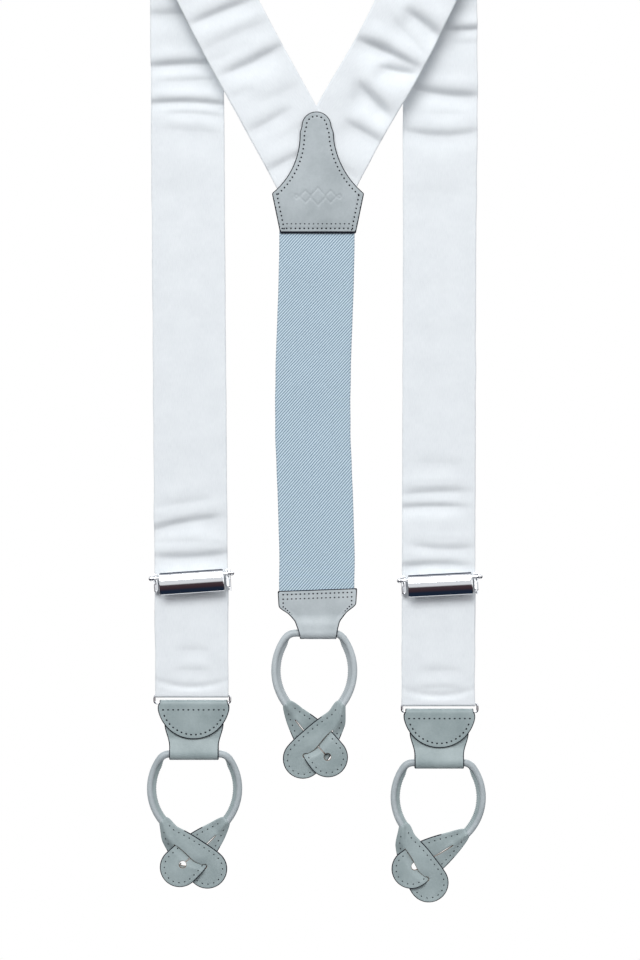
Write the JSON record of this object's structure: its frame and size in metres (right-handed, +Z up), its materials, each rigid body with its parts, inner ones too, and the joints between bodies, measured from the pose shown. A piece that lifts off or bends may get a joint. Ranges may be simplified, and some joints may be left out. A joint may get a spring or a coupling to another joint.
{
  "type": "pair of button-end suspenders",
  "caption": "Satin ribbon suspenders with a leather yoke, elastic back strap, flip-lever adjusters, wire rings and leather rope runners whose interlaced ears have buttonholes.",
  "frame": {"origin": "midway between the centres of the two shoulder bends, where the braces hang", "axes": "+Z up, -Y out of the back face, +X to the wearer's right"},
  "size_m": [0.1806, 0.0168, 0.5082],
  "materials": {
    "satin": "silk satin",
    "elastic": "twill elastic",
    "leather": "smooth calf, dark painted edges",
    "cord": "twisted cotton",
    "chrome": "polished"
  },
  "bodies": {
    "back": {"yoke_outer": "leather", "yoke_lining": "leather", "strap_back_left": "satin", "strap_back_right": "satin", "elastic_web": "elastic"},
    "back_end": {"back_tab": "leather"},
    "back_runner": {"back_rope": "leather", "back_core": "cord", "back_ear_slit": "leather", "back_ear_tip": "leather"},
    "left_front": {"strap_front_left": "satin"},
    "left_end": {"strap_loop_left": "satin", "strap_return_left": "satin"},
    "left_adjuster": {"adjuster_frame_left": "chrome", "adjuster_pin_left": "chrome"},
    "left_lever": {"adjuster_lever_left": "chrome"},
    "left_ring": {"ring_left": "chrome"},
    "left_tab": {"tab_flap_left": "leather", "tab_sling_left": "leather"},
    "left_runner": {"rope_left": "leather", "core_left": "cord", "ear_slit_left": "leather", "ear_tip_left": "leather"},
    "right_front": {"strap_front_right": "satin"},
    "right_end": {"strap_loop_right": "satin", "strap_return_right": "satin"},
    "right_adjuster": {"adjuster_frame_right": "chrome", "adjuster_pin_right": "chrome"},
    "right_lever": {"adjuster_lever_right": "chrome"},
    "right_ring": {"ring_right": "chrome"},
    "right_tab": {"tab_flap_right": "leather", "tab_sling_right": "leather"},
    "right_runner": {"rope_right": "leather", "core_right": "cord", "ear_slit_right": "leather", "ear_tip_right": "leather"}
  },
  "joints": [
    {"name": "back_stretch", "type": "slide", "parent": "back", "child": "back_end", "axis": [0, 0, -1], "range_m": [0, 0.05], "stiffness_N_per_m": 200, "springref_m": -0.003, "deforming": ["elastic_web"]},
    {"name": "back_runner_swing", "type": "hinge", "parent": "back_end", "child": "back_runner", "pos_m": [0, -0.00455, -0.3563], "axis": [1, 0, 0], "range_deg": [-60, 60]},
    {"name": "left_shoulder_fold", "type": "hinge", "parent": "back", "child": "left_front", "pos_m": [-0.0652, 0, 0], "axis": [0.9703, 0, 0.2419], "range_deg": [0, 75]},
    {"name": "left_length", "type": "slide", "parent": "left_front", "child": "left_end", "axis": [0, 0, 1], "range_m": [-0.01, 0.065]},
    {"name": "left_adjuster_slide", "type": "slide", "parent": "left_end", "child": "left_adjuster", "axis": [0, 0, 1], "range_m": [-0.01, 0.065], "deforming": ["strap_return_left"]},
    {"name": "left_lever_flip", "type": "hinge", "parent": "left_adjuster", "child": "left_lever", "pos_m": [-0.06544, 0.0005, -0.32651], "axis": [-0.9976, 0, -0.0698], "range_deg": [0, 100]},
    {"name": "left_ring_swing", "type": "hinge", "parent": "left_end", "child": "left_ring", "pos_m": [-0.0652, 0.00555, -0.38955], "axis": [1, 0, 0], "range_deg": [-40, 40]},
    {"name": "left_tab_swing", "type": "hinge", "parent": "left_ring", "child": "left_tab", "pos_m": [-0.0652, 0.00555, -0.39385], "axis": [1, 0, 0], "range_deg": [-50, 50]},
    {"name": "left_runner_swing", "type": "hinge", "parent": "left_tab", "child": "left_runner", "pos_m": [-0.0652, 0.00555, -0.4206], "axis": [1, 0, 0], "range_deg": [-60, 60]},
    {"name": "right_shoulder_fold", "type": "hinge", "parent": "back", "child": "right_front", "pos_m": [0.0652, 0, 0], "axis": [0.9703, 0, -0.2419], "range_deg": [0, 75]},
    {"name": "right_length", "type": "slide", "parent": "right_front", "child": "right_end", "axis": [0, 0, 1], "range_m": [-0.01, 0.065]},
    {"name": "right_adjuster_slide", "type": "slide", "parent": "right_end", "child": "right_adjuster", "axis": [0, 0, 1], "range_m": [-0.01, 0.065], "deforming": ["strap_return_right"]},
    {"name": "right_lever_flip", "type": "hinge", "parent": "right_adjuster", "child": "right_lever", "pos_m": [0.06502, 0.0005, -0.32791], "axis": [-0.9986, 0, -0.0523], "range_deg": [0, 100]},
    {"name": "right_ring_swing", "type": "hinge", "parent": "right_end", "child": "right_ring", "pos_m": [0.0652, 0.00555, -0.39415], "axis": [1, 0, 0], "range_deg": [-40, 40]},
    {"name": "right_tab_swing", "type": "hinge", "parent": "right_ring", "child": "right_tab", "pos_m": [0.0652, 0.00555, -0.39845], "axis": [1, 0, 0], "range_deg": [-50, 50]},
    {"name": "right_runner_swing", "type": "hinge", "parent": "right_tab", "child": "right_runner", "pos_m": [0.0652, 0.00555, -0.4252], "axis": [1, 0, 0], "range_deg": [-60, 60]}
  ],
  "couplings": [
    {"joint": "left_adjuster_slide", "follows": "left_length", "ratio": 1},
    {"joint": "right_adjuster_slide", "follows": "right_length", "ratio": 1}
  ]
}
